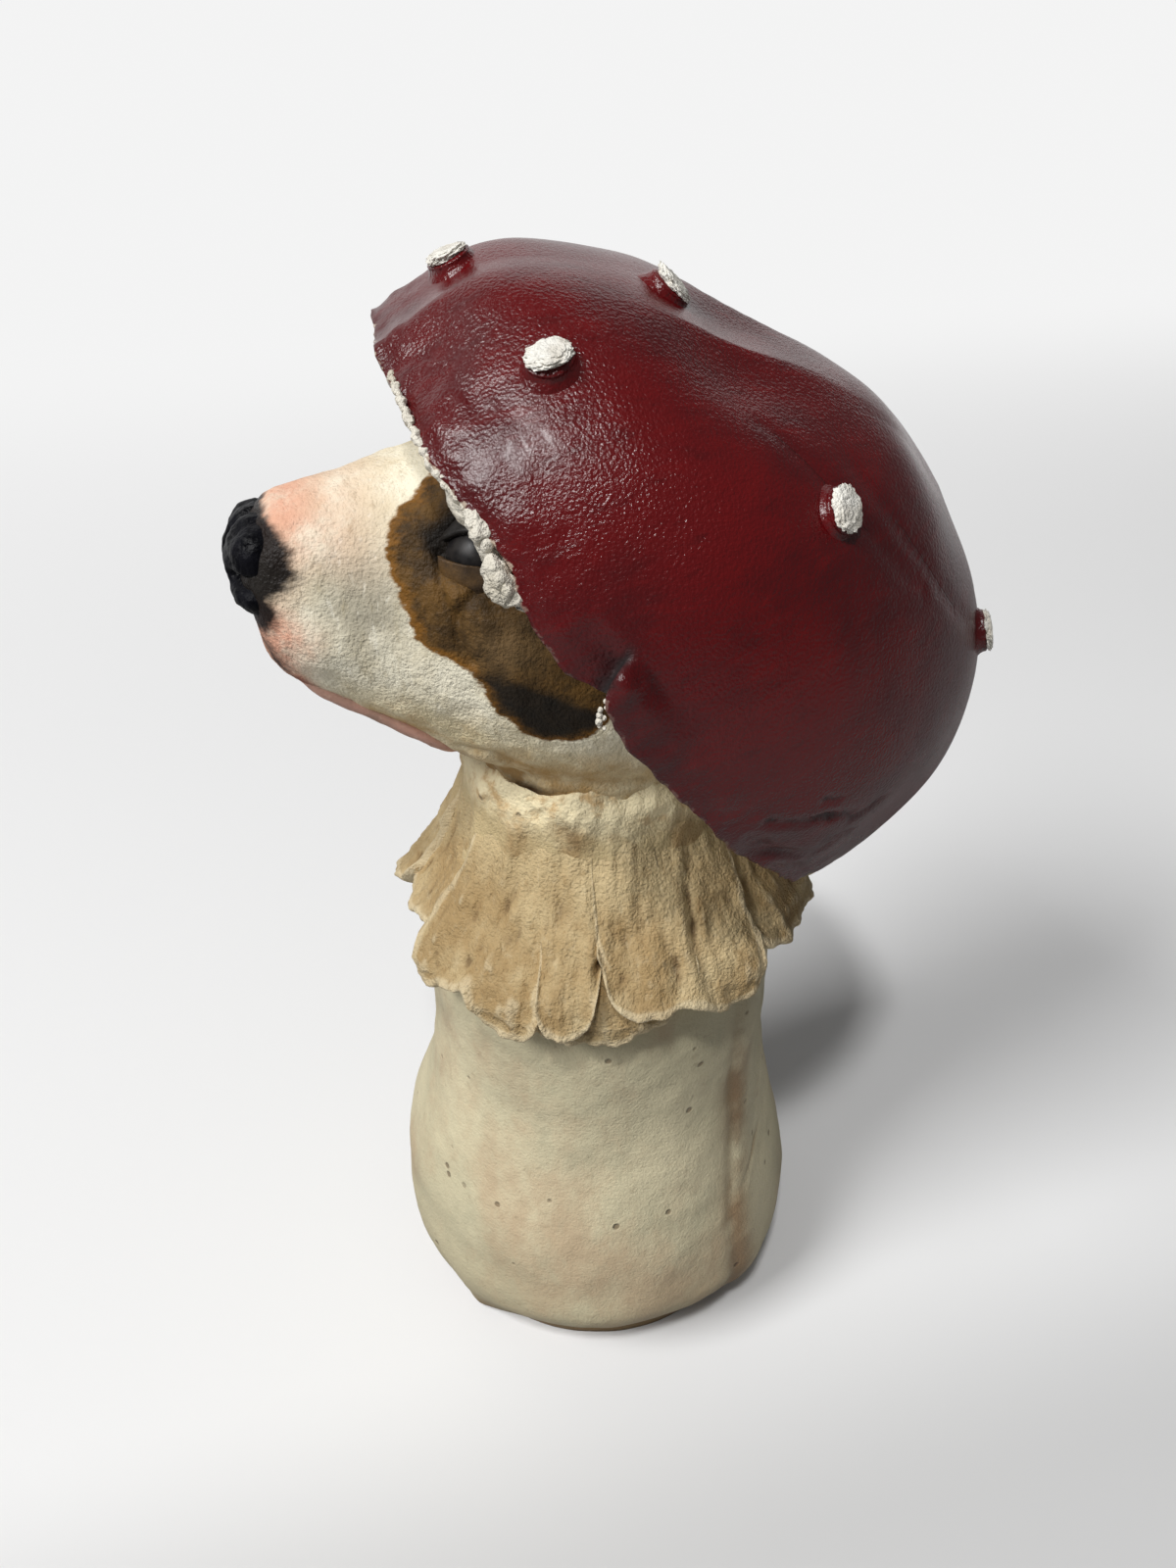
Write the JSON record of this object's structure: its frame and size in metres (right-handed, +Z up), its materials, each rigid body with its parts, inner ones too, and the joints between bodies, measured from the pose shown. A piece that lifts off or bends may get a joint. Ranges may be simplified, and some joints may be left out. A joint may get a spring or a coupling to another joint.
{
  "type": "ceramic toadstool ornament",
  "caption": "Hand-built ceramic toadstool: a bulging clay stem with a torn skirt carries a dog's head that wears the red, white-warted cap tilted back like a hat.",
  "frame": {"origin": "middle of the foot's resting face", "axes": "+Z up the stem, -Y the way the dog looks, +X to the dog's left"},
  "size_m": [0.0976, 0.1241, 0.217],
  "materials": {
    "cap_glaze": "satin gloss oxblood glaze over leathery clay",
    "wart_white": "rough chalky white",
    "gill_white": "rough crumbly white",
    "stem_clay": "smooth cream clay with brown wash",
    "skirt_clay": "torn clay with tan wash",
    "head_clay": "cream clay with a painted brown patch and pink blush",
    "jaw_pink": "cream clay with pink blush",
    "nose_black": "satin black",
    "eye_black": "gloss black",
    "eyelid_brown": "satin dark brown"
  },
  "bodies": {
    "root": {"cap_shell": "cap_glaze", "foot_disc": "stem_clay", "gill_lining": "gill_white", "head_shell": "head_clay", "left_eye": "eye_black", "left_lower_eyelid": "eyelid_brown", "left_upper_eyelid": "eyelid_brown", "lower_jaw": "jaw_pink", "nose": "nose_black", "right_eye": "eye_black", "right_lower_eyelid": "eyelid_brown", "right_upper_eyelid": "eyelid_brown", "skirt_strip_01": "skirt_clay", "skirt_strip_02": "skirt_clay", "skirt_strip_03": "skirt_clay", "skirt_strip_04": "skirt_clay", "skirt_strip_05": "skirt_clay", "skirt_strip_06": "skirt_clay", "skirt_strip_07": "skirt_clay", "skirt_strip_08": "skirt_clay", "skirt_strip_09": "skirt_clay", "skirt_strip_10": "skirt_clay", "skirt_strip_11": "skirt_clay", "stem_wall": "stem_clay", "wart_crown_01": "wart_white", "wart_crown_02": "wart_white", "wart_crown_03": "wart_white", "wart_crown_04": "wart_white", "wart_crown_05": "wart_white", "wart_crown_06": "wart_white", "wart_crown_07": "wart_white", "wart_crown_08": "wart_white", "wart_crown_09": "wart_white", "wart_crown_10": "wart_white", "wart_stud_01": "cap_glaze", "wart_stud_02": "cap_glaze", "wart_stud_03": "cap_glaze", "wart_stud_04": "cap_glaze", "wart_stud_05": "cap_glaze", "wart_stud_06": "cap_glaze", "wart_stud_07": "cap_glaze", "wart_stud_08": "cap_glaze", "wart_stud_09": "cap_glaze", "wart_stud_10": "cap_glaze"}
  },
  "joints": []
}
